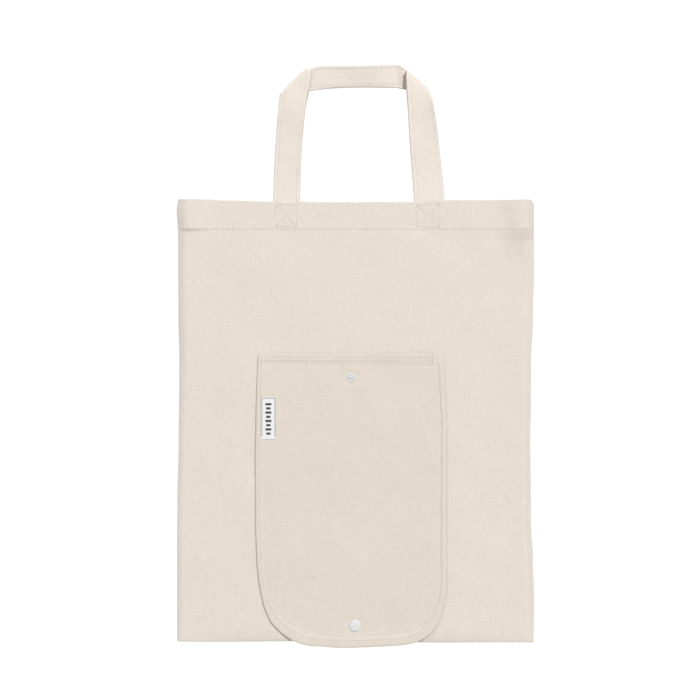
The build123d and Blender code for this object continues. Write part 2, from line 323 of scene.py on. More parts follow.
# ---- materials ----------------------------------------------------------------------------
class Nodes:
    """Short calls for building a node tree."""

    def __init__(self, tree):
        self.tree = tree

    def add(self, kind, **settings):
        node = self.tree.nodes.new(kind)
        for key, value in settings.items():
            setattr(node, key, value)
        return node

    def put(self, socket, value):
        if hasattr(value, "links"):
            self.tree.links.new(value, socket)
        elif value is not None:
            socket.default_value = value

    def fill(self, node, **values):
        """Sets or links inputs by name, with _ for a space, and gives the first output."""
        for name, value in values.items():
            self.put(node.inputs[name.replace("_", " ")], value)
        return node.outputs[0]

    def fill_in_order(self, node, *values):
        for socket, value in zip(node.inputs, values):
            self.put(socket, value)
        return node.outputs[0]

    def math(self, operation, *values, clamp=False):
        node = self.add("ShaderNodeMath", operation=operation, use_clamp=clamp)
        return self.fill_in_order(node, *values)

    def times(self, a, b):
        return self.math("MULTIPLY", a, b)

    def plus(self, a, b):
        return self.math("ADD", a, b)

    def minus(self, a, b):
        return self.math("SUBTRACT", a, b)

    def scaled(self, a, factor, offset):
        """a * factor + offset"""
        return self.math("MULTIPLY_ADD", a, factor, offset)

    def either(self, choice, a, b):
        """a where choice is 1, b where it is 0."""
        return self.plus(self.times(a, choice), self.times(b, self.minus(1.0, choice)))

    def noise(self, vector, scale, detail=2.0, rough=0.5):
        node = self.add("ShaderNodeTexNoise")
        self.fill(node, Vector=vector, Scale=scale, Detail=detail, Roughness=rough)
        return node.outputs["Fac"]

    def combine(self, x, y, z=0.0):
        return self.fill_in_order(self.add("ShaderNodeCombineXYZ"), x, y, z)

    def mix(self, factor, a, b):
        node = self.add("ShaderNodeMix", data_type="RGBA")
        for socket, value in ((0, factor), (6, a), (7, b)):
            self.put(node.inputs[socket], value)
        return node.outputs[2]

    def scale_colour(self, colour, factor):
        node = self.add("ShaderNodeVectorMath", operation="SCALE")
        self.put(node.inputs[0], colour)
        return self.fill(node, Scale=factor)

    def bump(self, height, strength, distance, normal=None):
        """The normal of a surface raised by a height times a distance in millimetres."""
        return self.fill(self.add("ShaderNodeBump"), Strength=strength, Distance=distance * MM,
                         Height=height, Normal=normal)

    def attribute(self, name):
        return self.add("ShaderNodeAttribute", attribute_name=name).outputs["Fac"]

    def cloth_place(self):
        """The place on the cloth, in metres: as one vector, across and along."""
        uv = self.add("ShaderNodeUVMap", uv_map="cloth").outputs[0]
        split = self.add("ShaderNodeSeparateXYZ")
        self.put(split.inputs[0], uv)
        return uv, split.outputs[0], split.outputs[1]


def new_material(name):
    material = bpy.data.materials.new(name)
    material.use_nodes = True
    tree = material.node_tree
    tree.nodes.clear()
    nodes = Nodes(tree)
    shader = nodes.add("ShaderNodeBsdfPrincipled")
    output = nodes.add("ShaderNodeOutputMaterial")
    tree.links.new(shader.outputs[0], output.inputs[0])
    return material, nodes, shader


SPECK_LEVEL = 0.735         # noise above this is a fleck of seed husk
GATHER_PITCH = 3.6          # from one gather beside a stitch row to the next


def cotton(name, colour, pitch=0.8, fleck=1.0):
    """Plain-weave natural cotton: threads over and under, uneven yarn, slubs and seed flecks, with
    painted shade where the threads dip.
    """
    material, nodes, shader = new_material(name)
    times, plus, minus, scaled = nodes.times, nodes.plus, nodes.minus, nodes.scaled
    noise, combine = nodes.noise, nodes.combine
    uv, across, down = nodes.cloth_place()
    wander = times(minus(noise(uv, 160.0), 0.5), 1.3)
    u, v = (plus(times(way, 1 / (pitch * MM)), wander) for way in (across, down))
    whole_u, whole_v = nodes.math("FLOOR", u), nodes.math("FLOOR", v)
    arch_u, arch_v = (nodes.math("SINE", times(nodes.math("FRACT", way), math.pi))
                      for way in (u, v))
    over = nodes.math("PINGPONG", plus(whole_u, whole_v), 1.0)
    warp = times(nodes.math("POWER", arch_u, 0.6), scaled(arch_v, 0.5, 0.5))
    weft = times(nodes.math("POWER", arch_v, 0.6), scaled(arch_u, 0.5, 0.5))
    height = nodes.either(over, warp, weft)
    yarn_u = noise(combine(whole_u, times(v, 0.11)), 0.73, 1.0)
    yarn_v = noise(combine(times(u, 0.14), whole_v), 0.73, 1.0)
    uneven = minus(nodes.either(over, yarn_u, yarn_v), 0.5)
    cloud = minus(noise(uv, 14.0, 3.0, 0.6), 0.5)
    slub_u = noise(combine(times(across, 420.0), times(down, 26.0)), 1.0)
    slub_v = noise(combine(times(across, 26.0), times(down, 420.0), 7.0), 1.0)
    slub = plus(minus(slub_u, 0.5), times(minus(slub_v, 0.5), 0.6))
    grain = minus(noise(uv, 800.0, 2.0, 0.7), 0.5)
    level = scaled(uneven, 0.26, 1.0)
    for cause, share in ((slub, 0.05), (grain, 0.24), (cloud, 0.05)):
        level = scaled(cause, share, level)
    # painted shade: the colour darkens where each thread dips under the next, following the weave's
    # height
    level = times(level, scaled(height, 0.20, 0.85))
    speck = minus(noise(uv, 420.0, 1.0), SPECK_LEVEL)
    speck = nodes.math("MULTIPLY", speck, 12.0 * fleck, clamp=True)
    husk = (0.62 * colour[0], 0.62 * colour[1], 0.5 * colour[2], 1.0)
    base = nodes.mix(times(speck, 0.6), (*colour, 1.0), husk)
    fuzz = times(noise(uv, 2600.0, 2.0, 0.6), 0.35)
    wave = times(nodes.attribute("seam_along"), 2 * math.pi / GATHER_PITCH)
    wave = nodes.math("SINE", plus(wave, times(noise(uv, 230.0, 1.0), 5.0)))
    gathers = nodes.bump(times(wave, nodes.attribute("seam_amount")), 1.0, 0.10)
    weave = nodes.bump(plus(scaled(uneven, 1.1, height), fuzz), 0.6, 0.13, gathers)
    nodes.fill(shader, Base_Color=nodes.scale_colour(base, level), Normal=weave,
               Roughness=scaled(uneven, 0.12, 0.9), Specular_IOR_Level=0.25, Sheen_Weight=0.12,
               Sheen_Roughness=0.6)
    return material


def thread(name, colour):
    """Sewing thread, twisted, with painted shade in the grooves between its strands."""
    material, nodes, shader = new_material(name)
    _, around, along = nodes.cloth_place()
    turn = nodes.times(around, 1 / MM)
    twist = nodes.scaled(along, 9 / MM, nodes.times(turn, 2.0))
    strand = nodes.scaled(nodes.math("SINE", twist), 0.5, 0.5)
    # painted shade: the colour darkens in the grooves of the twist, following the bump
    nodes.fill(shader, Base_Color=nodes.scale_colour(colour, nodes.scaled(strand, 0.16, 0.86)),
               Normal=nodes.bump(strand, 0.5, 0.05), Roughness=0.72, Sheen_Weight=0.1)
    return material


def moulded(name, colour, roughness, transmission=0.0):
    """Moulded snap plastic with faint unevenness in its gloss."""
    material, nodes, shader = new_material(name)
    place = nodes.add("ShaderNodeTexCoord").outputs["Object"]
    cloud = nodes.noise(place, 900.0)
    nodes.fill(shader, Base_Color=nodes.scale_colour(colour, nodes.scaled(cloud, 0.06, 0.97)),
               Roughness=nodes.scaled(cloud, 0.12, roughness - 0.06),
               Normal=nodes.bump(nodes.noise(place, 2500.0, 1.0), 0.12, 0.05), IOR=1.49,
               Transmission_Weight=transmission, Subsurface_Weight=0.15,
               Subsurface_Radius=(0.8 * MM, 0.8 * MM, 0.7 * MM))
    return material


def satin(name, colour):
    """Fine woven label tape, ribbed across, with painted shade between the ribs."""
    material, nodes, shader = new_material(name)
    uv, _, up = nodes.cloth_place()
    rib_pitch = 0.3 * MM
    ribs = nodes.math("SINE", nodes.times(up, 2 * math.pi / rib_pitch))
    # painted shade: the colour darkens a little between the ribs; the noise is uneven tone
    level = nodes.scaled(ribs, 0.02, nodes.scaled(nodes.noise(uv, 1500.0), 0.06, 0.95))
    nodes.fill(shader, Base_Color=nodes.scale_colour(colour, level),
               Normal=nodes.bump(ribs, 0.3, 0.04), Roughness=0.5)
    return material


BAG_COTTON = cotton("bag_cotton", (0.74, 0.67, 0.595))
POUCH_COTTON = cotton("pouch_cotton", (0.715, 0.648, 0.562))
STRAP_COTTON = cotton("strap_cotton", (0.785, 0.712, 0.642), pitch=0.75, fleck=0.6)
THREAD = thread("sewing_thread", (0.675, 0.608, 0.532))
PALE_THREAD = thread("hem_thread", (0.745, 0.678, 0.602))
LABEL_WHITE = satin("label_white", (0.80, 0.80, 0.81))
LABEL_GREY = satin("label_grey", (0.47, 0.48, 0.475))
LABEL_DARK = satin("label_dark", (0.05, 0.05, 0.052))
SNAP_WHITE = moulded("snap_white", (0.715, 0.71, 0.71), 0.32)
SNAP_CLEAR = moulded("snap_clear", (0.80, 0.79, 0.80), 0.45, transmission=0.25)


# ---- bag body -----------------------------------------------------------------------------
SEAM_HALF = 2.1             # half the depth just inside the side seams
EDGE_HALF = 0.4             # and at the very edge
SEAM_TURNED = 11            # cloth turned in at a side seam
LEFT_CORNER_R, RIGHT_CORNER_R = 1.0, 5.5
# heights, then how far the outline stands out there; for the top edge, places across and how high
EDGE_LEFT = ([6, 110, 150, 216, 300, 345, 430, 442, 455, 468],
             [1.9, 2.0, 1.7, 0.4, -0.4, 0.6, 0.9, 1.4, 2.4, 0.9])
EDGE_RIGHT = ([6, 50, 91, 133, 216, 258, 300, 342, 400, 442, 468],
              [2.6, 3.4, 2.0, -0.1, -0.7, -0.2, 0.1, 2.0, 3.2, 2.9, 2.9])
TOP_EDGE = ([-185, -160, -130, -86, 0, 60, 95, 185], [2.7, 2.5, 1.1, 0.0, -0.6, -0.3, 1.6, 1.8])
# which way each half of the bag lies from the middle, and each face from the mid-plane
WINGS = {"left": -1, "right": 1}
SIDES = {"front": -1, "back": 1}


def bag_outline(x, z):
    """Where a point of the true rectangle lies on the real, slightly uneven outline."""
    x, z = round_corner(x, z, EDGE_X, BAG_TOP, RIGHT_CORNER_R)
    x, z = round_corner(x, z, -EDGE_X, BAG_TOP, LEFT_CORNER_R)
    reach = smooth((np.abs(x) - 120) / (EDGE_X - 120))
    out = np.where(x < 0, -curve_through(*EDGE_LEFT, z), curve_through(*EDGE_RIGHT, z))
    rise = curve_through(*TOP_EDGE, x) * smooth((z - HEM_BOTTOM - 2) / 24)
    sag = (-1.1 - 0.3 * np.sin(x / 31.0) - 1.2 * smooth((x - 20) / 90)) * smooth((40 - z) / 34)
    return x + out * reach, z + rise + sag


def bag_half_depth(x, z, side):
    """Distance of the outer face from the bag's mid-plane; side is -1 at the front, 1 behind."""
    across = np.clip((np.abs(x) - 92) / (EDGE_X - 92), 0, 1)
    in_hem = smooth((z - STITCH_Z + np.where(x < 0, 3, 14)) / np.where(x < 0, 5, 16))
    upper = smooth((z - 200) / 150)
    swell = np.where(x < 0, 0.2 + 1.3 * upper + 1.7 * in_hem, 3.2 * in_hem)
    swell = swell * smooth((across - 0.55) / 0.38) * (1.0 if side < 0 else 0.5)
    depth = SEAM_HALF + (HALF_DEPTH - SEAM_HALF) * (1 - smooth(across)) + swell
    if side > 0:
        depth = depth + 3.2 * smooth((96 - np.abs(x)) / 70) * bump(z, 190, 130)
    pinch = np.clip((z - BAG_BOTTOM) / (14 if side < 0 else 46), 0, 1)
    depth = 1.6 + (depth - 1.6) * np.sqrt(1 - (1 - pinch) ** 2)
    roll = np.where(x < 0, 6 + 3 * upper + 3 * in_hem, 1.4 + 8.9 * in_hem)
    t = np.clip((EDGE_X - np.abs(x)) / roll, 0, 1)
    edge = np.where(x < 0, 1 - (1 - t) ** 1.7, np.sqrt(1 - (1 - t) ** 2))
    return EDGE_HALF + (depth - EDGE_HALF) * edge


def bag_relief(x, z, side):
    """Unevenness of the cloth, outwards."""
    seed = 10 if side < 0 else 40
    off_bottom = smooth((z - BAG_BOTTOM) / 30)
    calm = 1 - 0.7 * smooth((z - 425) / 20)
    if side < 0:
        calm = calm * (1 - 0.7 * smooth((POUCH_HALF + 14 - np.abs(x - POUCH_MIDDLE)) / 16)
                       * smooth((POUCH_TOP + 12 - z) / 16))
    waves = 0.42 * ripple(x, z, 120, seed) + 0.16 * ripple(x, z, 48, seed + 1)
    waves += 0.10 * ripple(x, z, 26, seed + 2, stretch=(1.0, 0.35))
    relief = waves * smooth((EDGE_X - 3 - np.abs(x)) / 22) * off_bottom * calm
    relief += 0.12 * smooth((z - STITCH_Z - 0.4) / 1.6) - 0.04 * bump(z, STITCH_Z, 0.9)
    pucker = 0.09 * wobble(x, 8.5, seed + 3) + 0.12 * wobble(x, 19, seed + 4)
    relief += pucker * (bump(z, STITCH_Z - 4, 6) + 0.7 * bump(z, STITCH_Z + 5, 5))
    near_top = smooth((z - 398) / 38)
    inward = EDGE_X - x
    puff = smooth((38 - inward) / 26) * smooth(inward / 11)
    relief += puff * near_top * (3.4 if side < 0 else -2.0)
    if side < 0:
        relief -= 0.5 * bump(inward, 5.2, 2.6) * (1 - near_top) * off_bottom
    over_strap = between(x, *STRAP_LEFT, 2.2) + between(x, *STRAP_RIGHT, 2.2)
    return relief + 0.14 * smooth((z - (BAG_TOP - STRAP_SEWN)) / 2.5) * over_strap


def bag_seam(x, z):
    """How strongly the stitch rows gather the cloth, and how far along them a place is."""
    patchy = 0.45 + 0.55 * smooth(0.5 + 0.8 * wobble(x, 55, 17))
    amount = bump(z, STITCH_Z + 0.5, 3.8) * patchy * (0.7 + 0.5 * smooth((-x - 60) / 80))
    for x0, x1 in (STRAP_LEFT, STRAP_RIGHT):
        near = between(x, x0 - 1, x1 + 1, 3) * smooth((z - BAG_TOP + 26) / 3)
        amount = np.maximum(amount, 0.4 * near)
    return amount, x + 0.15 * z


def bag_y(x, z, side):
    """Outer face of the bag, from the true rectangle's x and z."""
    return MIDDLE_Y + side * (bag_half_depth(x, z, side) + bag_relief(x, z, side))


def bag_layer(x, z):
    """Thickness of the cloth with what is turned in behind it."""
    hem = smooth((z - (HEM_BOTTOM - 0.3)) / 0.6)
    seam = smooth((np.abs(x) - (EDGE_X - SEAM_TURNED)) / 2)
    turned = smooth((BAG_BOTTOM + 9 - z) / 3)
    layer = CLOTH + 0.75 * hem + 0.5 * np.maximum(seam, turned) * (1 - hem)
    return np.minimum(layer, 0.42 + 0.26 * (EDGE_X - np.abs(x)))


def bag_panel(name, side, wing):
    """Half of the front or back, from the middle to one side seam."""
    xs = steps(0, (100, 2.6), (122, 1.1), (158, 2.6), (EDGE_X - 4, 1.1), (EDGE_X - 1.6, 0.5),
               (EDGE_X - 0.25, 0.22))
    zs = steps(BAG_BOTTOM + 0.5, (14, 1.4), (52, 2.6), (430, 3.0), (437, 0.9), (443, 0.4),
               (BAG_TOP - 8, 1.5), (BAG_TOP - 0.7, 0.9))
    x, z = np.meshgrid(wing * xs, zs)
    outer_y = bag_y(x, z, side)
    px, pz = bag_outline(x, z)
    return slab(name, join(px, outer_y, pz), join(px, outer_y - side * bag_layer(x, z), pz),
                join(x + 400 * (side > 0), z), BAG_COTTON, flat_columns=(0,),
                seam=bag_seam(x, z))


def bag_run(xs, zs, side, lift):
    def face(x, z):
        return bag_y(x, z, side)
    return surface_run(face, xs, zs, side, lift, bag_outline)


def fold_with_side(piece, wing_name):
    """Bakes a piece's transform into its mesh."""
    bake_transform(piece)


def stand_in(piece, slot_name, *nodes):
    """Puts a piece in the place of CAD nodes, which it hides; the slot name is not used."""
    if nodes:
        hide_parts(*nodes)
    return piece


def bag_body():
    for name, side in SIDES.items():
        for wing_name, wing in WINGS.items():
            # the piece on the left stands for the centre too
            parts = [wing_name] + ["centre"] * (wing < 0)
            panel = bag_panel(f"bag_{name}_{wing_name}", side, wing)
            stand_in(panel, "bag_cotton",
                     *(f"{name}_{layer}_{part}" for part in parts for layer in ("panel", "hem")))
            xs = wing * np.arange(1.5, EDGE_X - 3, 1.2)
            row = stitches(f"hem_stitches_{name}_{wing_name}",
                           [bag_run(xs, np.full_like(xs, STITCH_Z), side, 0.05)], PALE_THREAD)
            stand_in(row, "thread", *(f"{name}_hem_stitching_{part}" for part in parts))
            for piece in (panel, row):
                fold_with_side(piece, wing_name)


def bottom_seam(wing, name):
    """The turned seam that closes the bottom between front and back."""
    xs = steps(0, (88, 3), (122, 1.5), (EDGE_X - 1.0, 3))
    half_width = 1.3
    x, across = np.meshgrid(wing * xs, np.linspace(-half_width, half_width, 7))
    px, pz = bag_outline(x, np.full_like(x, BAG_BOTTOM))
    droop = 0.3 * (1 - (across / half_width) ** 2)
    outer = join(px, MIDDLE_Y + across, pz + 0.45 - droop)
    piece = slab(f"bottom_seam_{name}_piece", outer, outer + np.array([0, 0, 1.2]),
                 join(x, across), BAG_COTTON, flat_columns=(0,))
    stand_in(piece, "bag_cotton", f"bottom_seam_{name}", *["bottom_seam_centre"] * (wing < 0))
    fold_with_side(piece, name)


def side_seam(wing, name):
    """The seam allowance inside a side seam: two raw edges sewn together, a little wavy."""
    seam_low, seam_high = low(f"side_seam_{name}"), high(f"side_seam_{name}")
    zs = steps(seam_low[2] + 2, (seam_high[2] - 1, 3.0))
    across, z = np.meshgrid(np.linspace(EDGE_X - 1.2, EDGE_X - 10.5, 9), zs)
    loose = 0.5 * smooth((EDGE_X - 3 - across) / 7)
    px, pz = bag_outline(wing * across, z)
    middle = join(px + wing * loose * wobble(z, 25, 81),
                  MIDDLE_Y + loose * ripple(z, across, 40, 82), pz)
    half = np.array([0, 0.30, 0])
    piece = slab(f"side_seam_{name}_piece", middle - half, middle + half,
                 join(wing * across, z), BAG_COTTON)
    stand_in(piece, "bag_cotton", f"side_seam_{name}")
    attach(piece, f"{name}_side")


# ---- handles ------------------------------------------------------------------------------
CROSSBAR_LOW = HANDLE_TOP - 22.5
STRAP_WIDTH = 28.5
STRAP_HALF = 0.65           # half its thickness
STRAP_EDGE_ROW = 3.6        # stitch rows in from each edge of the strap
LEG_PLANE = 1.8             # the sewn ends' distance from the mid-plane
LEAN = 5.0                  # how far the handle's top stands away from its root
MITRE_R = 1.0


def strap_rows(gap_depth, top_drop, low_rise):
    """Rows across the strap: outer edge, inner edge, bow and depth behind the leg's plane.

    The strap comes up as a leg, folds over at a slanting mitre to run across behind both legs,
    and folds forward again at the other end.  "Outer" is the edge that is outside on both legs
    and underneath on the cross bar.
    """
    left_out, left_in = STRAP_LEFT
    right_in, right_out = STRAP_RIGHT
    top = HANDLE_TOP - top_drop
    under = CROSSBAR_LOW + low_rise
    root = BAG_TOP
    sewn = root - STRAP_SEWN + 0.7
    bar = 2 * MITRE_R
    far = bar + gap_depth
    return [
        # outer x, outer z, inner x, inner z, bow, depth at outer, depth at inner, rows to next
        (left_out + 0.4, sewn, left_in, sewn, 0, 0, 0, 14),
        (left_out + 0.6, root + 2, left_in - 0.2, root + 2, 0, 0, 0, 16),
        (left_out + 2.8, root + 55, left_in + 1.5, root + 56, 0, 1.6, 0, 12),
        (left_out + 6.2, root + 96, left_in + 5.6, root + 99, 0, 0.8, 0, 8),
        (left_out + 7.6, root + 109, left_in + 8.9, root + 117, 0.6, 0, 0, 8),
        (left_out + 8.2, root + 111.6, left_in + 12.0, root + 134.8, 3.2, 0.1, 0.1, 5),
        (left_out + 7.7, root + 111.8, left_in + 12.2, root + 137.4, 4.2, MITRE_R, MITRE_R, 5),
        (left_out + 9.0, root + 112.3, left_in + 12.4, root + 137.6, 3.6, bar, bar, 8),
        (left_out + 24, under - 5.0, left_in + 15, top - 2.0, 0.8, bar + 0.5, bar, 8),
        (-44, under - 1.8, -37, top, 0, bar + 1.2, bar - 0.6, 10),
        (-22, under + 0.6, -18, top + 0.1, 0, bar + 1.6, bar - 1.0, 10),
        (4, under + 1.6, 4, top + 0.3, 0, bar + 1.7, bar - 1.1, 12),
        (34, under + 1.0, 32, top + 1.2, 0, bar + 1.0, bar - 0.9, 6),
        (44.5, under + 0.9, 43, top + 1.7, 0, bar + 0.28 * gap_depth, bar + 0.1 * gap_depth, 6),
        (48, under + 0.4, 46.6, top + 1.4, 0, bar + 0.58 * gap_depth, bar + 0.5 * gap_depth, 6),
        (52.5, under + 0.1, 51.2, top - 0.6, 0, far, far, 6),
        (61, under - 3, 53.6, top - 3.6, 1.2, far, far, 6),
        (right_out - 12.5, root + 107, 53.8, top - 4.6, 2.6, bar, bar, 6),
        (right_out - 11.4, root + 106.4, 54.6, top - 4.2, 3.0, MITRE_R, MITRE_R, 6),
        (right_out - 11.4, root + 104.6, 54.4, top - 8, 2.2, 0.1, 0.1, 8),
        (right_out - 10.2, root + 97, right_in - 6.6, root + 117, 1.2, 0.4, 0, 8),
        (right_out - 7.9, root + 84, right_in - 5.3, root + 100, 0.5, 1.6, 0, 12),
        (right_out - 3.6, root + 50, right_in - 2.9, root + 58, 0, 3.0, 0, 16),
        (right_out + 0.8, root + 5, right_in + 0.9, root + 5, 0, 0.6, 0, 14),
        (right_out + 0.6, sewn, right_in + 0.6, sewn, 0, 0, 0, 0),
    ]


def spline(points, counts):
    """Catmull-Rom through the points, with a number of steps to each next point."""
    points = np.asarray(points, float)
    padded = np.vstack([2 * points[0] - points[1], points, 2 * points[-1] - points[-2]])
    out = []
    for i, n in enumerate(counts[:-1]):
        p0, p1, p2, p3 = padded[i:i + 4]
        d1, d2, d3 = (max(np.linalg.norm((b - a)[:4]), 1e-6) ** 0.5
                      for a, b in ((p0, p1), (p1, p2), (p2, p3)))
        m1 = d2 * ((p1 - p0) / d1 - (p2 - p0) / (d1 + d2) + (p2 - p1) / d2)
        m2 = d2 * ((p2 - p1) / d2 - (p3 - p1) / (d2 + d3) + (p3 - p2) / d3)
        for t in np.linspace(0, 1, n, endpoint=False):
            out.append((2 * t ** 3 - 3 * t ** 2 + 1) * p1 + (t ** 3 - 2 * t ** 2 + t) * m1
                       + (-2 * t ** 3 + 3 * t ** 2) * p2 + (t ** 3 - t ** 2) * m2)
    out.append(points[-1])
    return np.array(out)


def strap_grid(side, gap_depth, top_drop, low_rise, seed):
    """Mid-surface of one handle as a grid: rows along the strap, columns across it."""
    table = strap_rows(gap_depth, top_drop, low_rise)
    rows = spline([row[:7] for row in table], [row[7] for row in table])
    across = steps(0, (2.6, 0.9), (4.6, 0.5), (STRAP_WIDTH - 4.6, 2.4), (STRAP_WIDTH - 2.6, 0.5),
                   (STRAP_WIDTH, 0.9))
    outer_x, outer_z, inner_x, inner_z, bow, deep_outer, deep_inner = rows.T[:, :, None]
    t = across[None, :] / STRAP_WIDTH
    span_x, span_z = inner_x - outer_x, inner_z - outer_z
    x = outer_x + span_x * t
    z = outer_z + span_z * t
    mitre = np.interp(t, [0, 0.08, 0.32, 0.8, 0.95, 1], [0, 0, 0.56, 1.0, 0.94, 0.3])
    round_arch = np.interp(t, [0, 0.12, 0.3, 0.63, 0.95, 1], [0, 0.55, 1.42, 0.88, 0.0, 0])
    arch = np.where(outer_x < 0, mitre, round_arch) * bow / np.hypot(span_z, span_x)
    x = x + np.where(x > 0, 1.0, -1.0) * np.abs(span_z) * arch
    z = z + np.abs(span_x) * arch
    on_bar = between(x, 1 - 42, 1 + 42, 14) * smooth((z - 575) / 6)
    curl = 0.7 * np.clip((0.09 - t) / 0.09, 0, 1) ** 2
    depth = deep_outer + (deep_inner - deep_outer) * t + on_bar * curl
    lean = LEAN * smooth((z - BAG_TOP - 3) / 105)
    wave = 0.35 * ripple(x, z, 60, seed) + 0.12 * ripple(x, z, 24, seed + 1)
    cup = 0.35 * (2 * t - 1) ** 2
    y = LEG_PLANE + lean - depth + (wave + cup) * smooth((z - BAG_TOP - 4) / 30)
    return join(x, MIDDLE_Y + side * y, z), across


def handle(name, side, gap_depth, top_drop, low_rise, seed):
    grid, across = strap_grid(side, gap_depth, top_drop, low_rise, seed)
    normal = unit(np.cross(np.gradient(grid, axis=1), np.gradient(grid, axis=0)))
    edge = np.minimum(across, STRAP_WIDTH - across)
    half = STRAP_HALF - 0.14 * bump(edge, STRAP_EDGE_ROW, 0.8)
    offset = normal * half[None, :, None]
    length = distance_along(grid[:, len(across) // 2])
    v, u = np.meshgrid(length, across, indexing="ij")
    piece = slab(f"{name}_handle_piece", grid + offset, grid - offset, join(u, v + 700),
                 STRAP_COTTON)
    runs = []
    for row in (STRAP_EDGE_ROW, STRAP_WIDTH - STRAP_EDGE_ROW):
        column = int(np.argmin(np.abs(across - row)))
        for face in (1, -1):
            outward = face * normal[2:-2, column]
            runs.append((grid[2:-2, column] + outward * (half[column] + 0.02), outward))
    rows = stitches(f"{name}_handle_stitches", runs, PALE_THREAD, length=2.9, radius=0.18)
    stand_in(piece, "strap_cotton", f"{name}_handle_strap", f"{name}_handle_ends")
    stand_in(rows, "thread", f"{name}_handle_edge_stitching")
    for part in (piece, rows):
        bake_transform(part)


def box_stitching(name, side):
    """The crossed box of stitches through the hem at each strap end."""
    runs = []
    for x0, x1 in (STRAP_LEFT, STRAP_RIGHT):
        left, right = x0 + 3.2, x1 - 3.2
        bottom, top = STITCH_Z + 3.0, BAG_TOP - 3.4
        corners = [(left, bottom), (right, bottom), (right, top), (left, top)]
        for start, end in ((0, 1), (1, 2), (2, 3), (3, 0), (0, 2), (1, 3)):
            (ax, az), (bx, bz) = corners[start], corners[end]
            n = int(max(abs(bx - ax), abs(bz - az))) + 1
            runs.append(bag_run(np.linspace(ax, bx, n), np.linspace(az, bz, n), side, 0.06))
    piece = stitches(f"{name}_box_stitches", runs, PALE_THREAD, length=2.4, gap=0.8)
    stand_in(piece, "thread", f"{name}_handle_stitching")
    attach(piece, "bag_centre")


# ---- pouch --------------------------------------------------------------------------------
STRIP = 5.6                 # width of the raised edge of the pouch
STRIP_RAISE = 0.45
STRIP_ROW = STRIP - 1.3     # its stitch row, in from the edge
BAND_ROW = 5.2              # a stitch row, down from the pouch's top
ROUND_LEFT, ROUND_RIGHT = 3.0, 4.1      # exponents of the rounded lower end
POUCH_DROOP = 1.0                       # how far below z = 0 the end hangs
TOP_RIGHT_R = 11.0
TOP_LEFT_R = 2.5
TACK_X, TACK_PITCH, TACK_STITCHES = -16.5, 0.75, 7
# heights, then how far the outline stands out there; for the end, places across and how high
POUCH_LEFT = ([24, 38, 55, 75, 95, 125, 200, 240, 270, 290, 306],
              [1.2, -0.6, -1.4, -0.7, 0.3, 1.4, 1.8, 1.0, 0.4, -0.4, -1.4])
POUCH_RIGHT = ([20, 45, 62, 100, 200, 237, 258, 275, 290, 306],
               [0.8, 0.8, 1.5, 0.8, 1.1, 1.3, 0.2, -0.6, -1.6, -1.9])
POUCH_END = ([-85, -70, -58, -47, -36, -16, -3, 8, 26, 40, 57, 70, 80],
             [-0.6, -1.4, -2.0, -1.6, -0.3, -0.7, -0.7, -0.2, 0.5, 0.5, -0.2, -0.9, -1.4])


def pouch_outline(x, z):
    """Where a point of the pouch's even shape lies on its real, slightly uneven outline."""
    across = x - POUCH_MIDDLE
    left = curve_through(*POUCH_LEFT, z) * smooth((-across - 30) / 60)
    right = curve_through(*POUCH_RIGHT, z) * smooth((across - 30) / 60)
    down = curve_through(*POUCH_END, x) * smooth((24 - z) / 20)
    return x + right - left, z + down


def distance_in(u, down, largest):
    """Distance in from the pouch's edge, from shares of its half width and of its rounded end."""
    return ((1 - largest) * (POUCH_HALF * np.abs(u) + POUCH_CURVE * down)
            / np.maximum(np.abs(u) + down, 1e-9))


def round_norm(u, down):
    """1 on the outline of the rounded lower end, and less inside it."""
    power = np.where(u < 0, ROUND_LEFT, ROUND_RIGHT)
    return (np.abs(u) ** power + down ** power) ** (1 / power)


def pouch_point(u, w, inset=0.0):
    """A place on the pouch: u from -1 to 1 across, w the height; below the curve, w is bent in.

    Returns x, z and the distance from the edge.
    """
    half = POUCH_HALF - inset
    down = np.clip((POUCH_CURVE - w) / POUCH_CURVE, 0, 1)
    largest = np.maximum(np.abs(u), down)
    curved = down > 0
    scale = np.where(curved, largest / np.maximum(round_norm(u, down), 1e-9), 1.0)
    reach = POUCH_CURVE + POUCH_DROOP - inset
    z = np.where(curved, POUCH_CURVE - reach * down * scale, w)
    edge = np.where(curved, distance_in(u, down, largest), (1 - np.abs(u)) * POUCH_HALF)
    x, z = round_corner(half * u * scale, z, half, POUCH_TOP, TOP_RIGHT_R)
    x, z = round_corner(x, z, -half, POUCH_TOP, TOP_LEFT_R)
    return x + POUCH_MIDDLE, z, edge


def pouch_edge_distance(x, z):
    """Distance from the pouch's edge at any place on it."""
    u = (x - POUCH_MIDDLE) / POUCH_HALF
    down = np.clip((POUCH_CURVE - z) / (POUCH_CURVE + POUCH_DROOP), 0, 1)
    return distance_in(u, down, round_norm(u, down))


# round each snap: its centre, the depth of the dimple, and how many folds and where they start
DIMPLES = ((UPPER_SNAP, 0.6, 7, 0.4), (FLAP_SNAP, 0.35, 6, 1.2))


def strip_widening(z):
    """The turned edge is wider round the end than up the sides."""
    return 3.4 * smooth((66 - z) / 56)


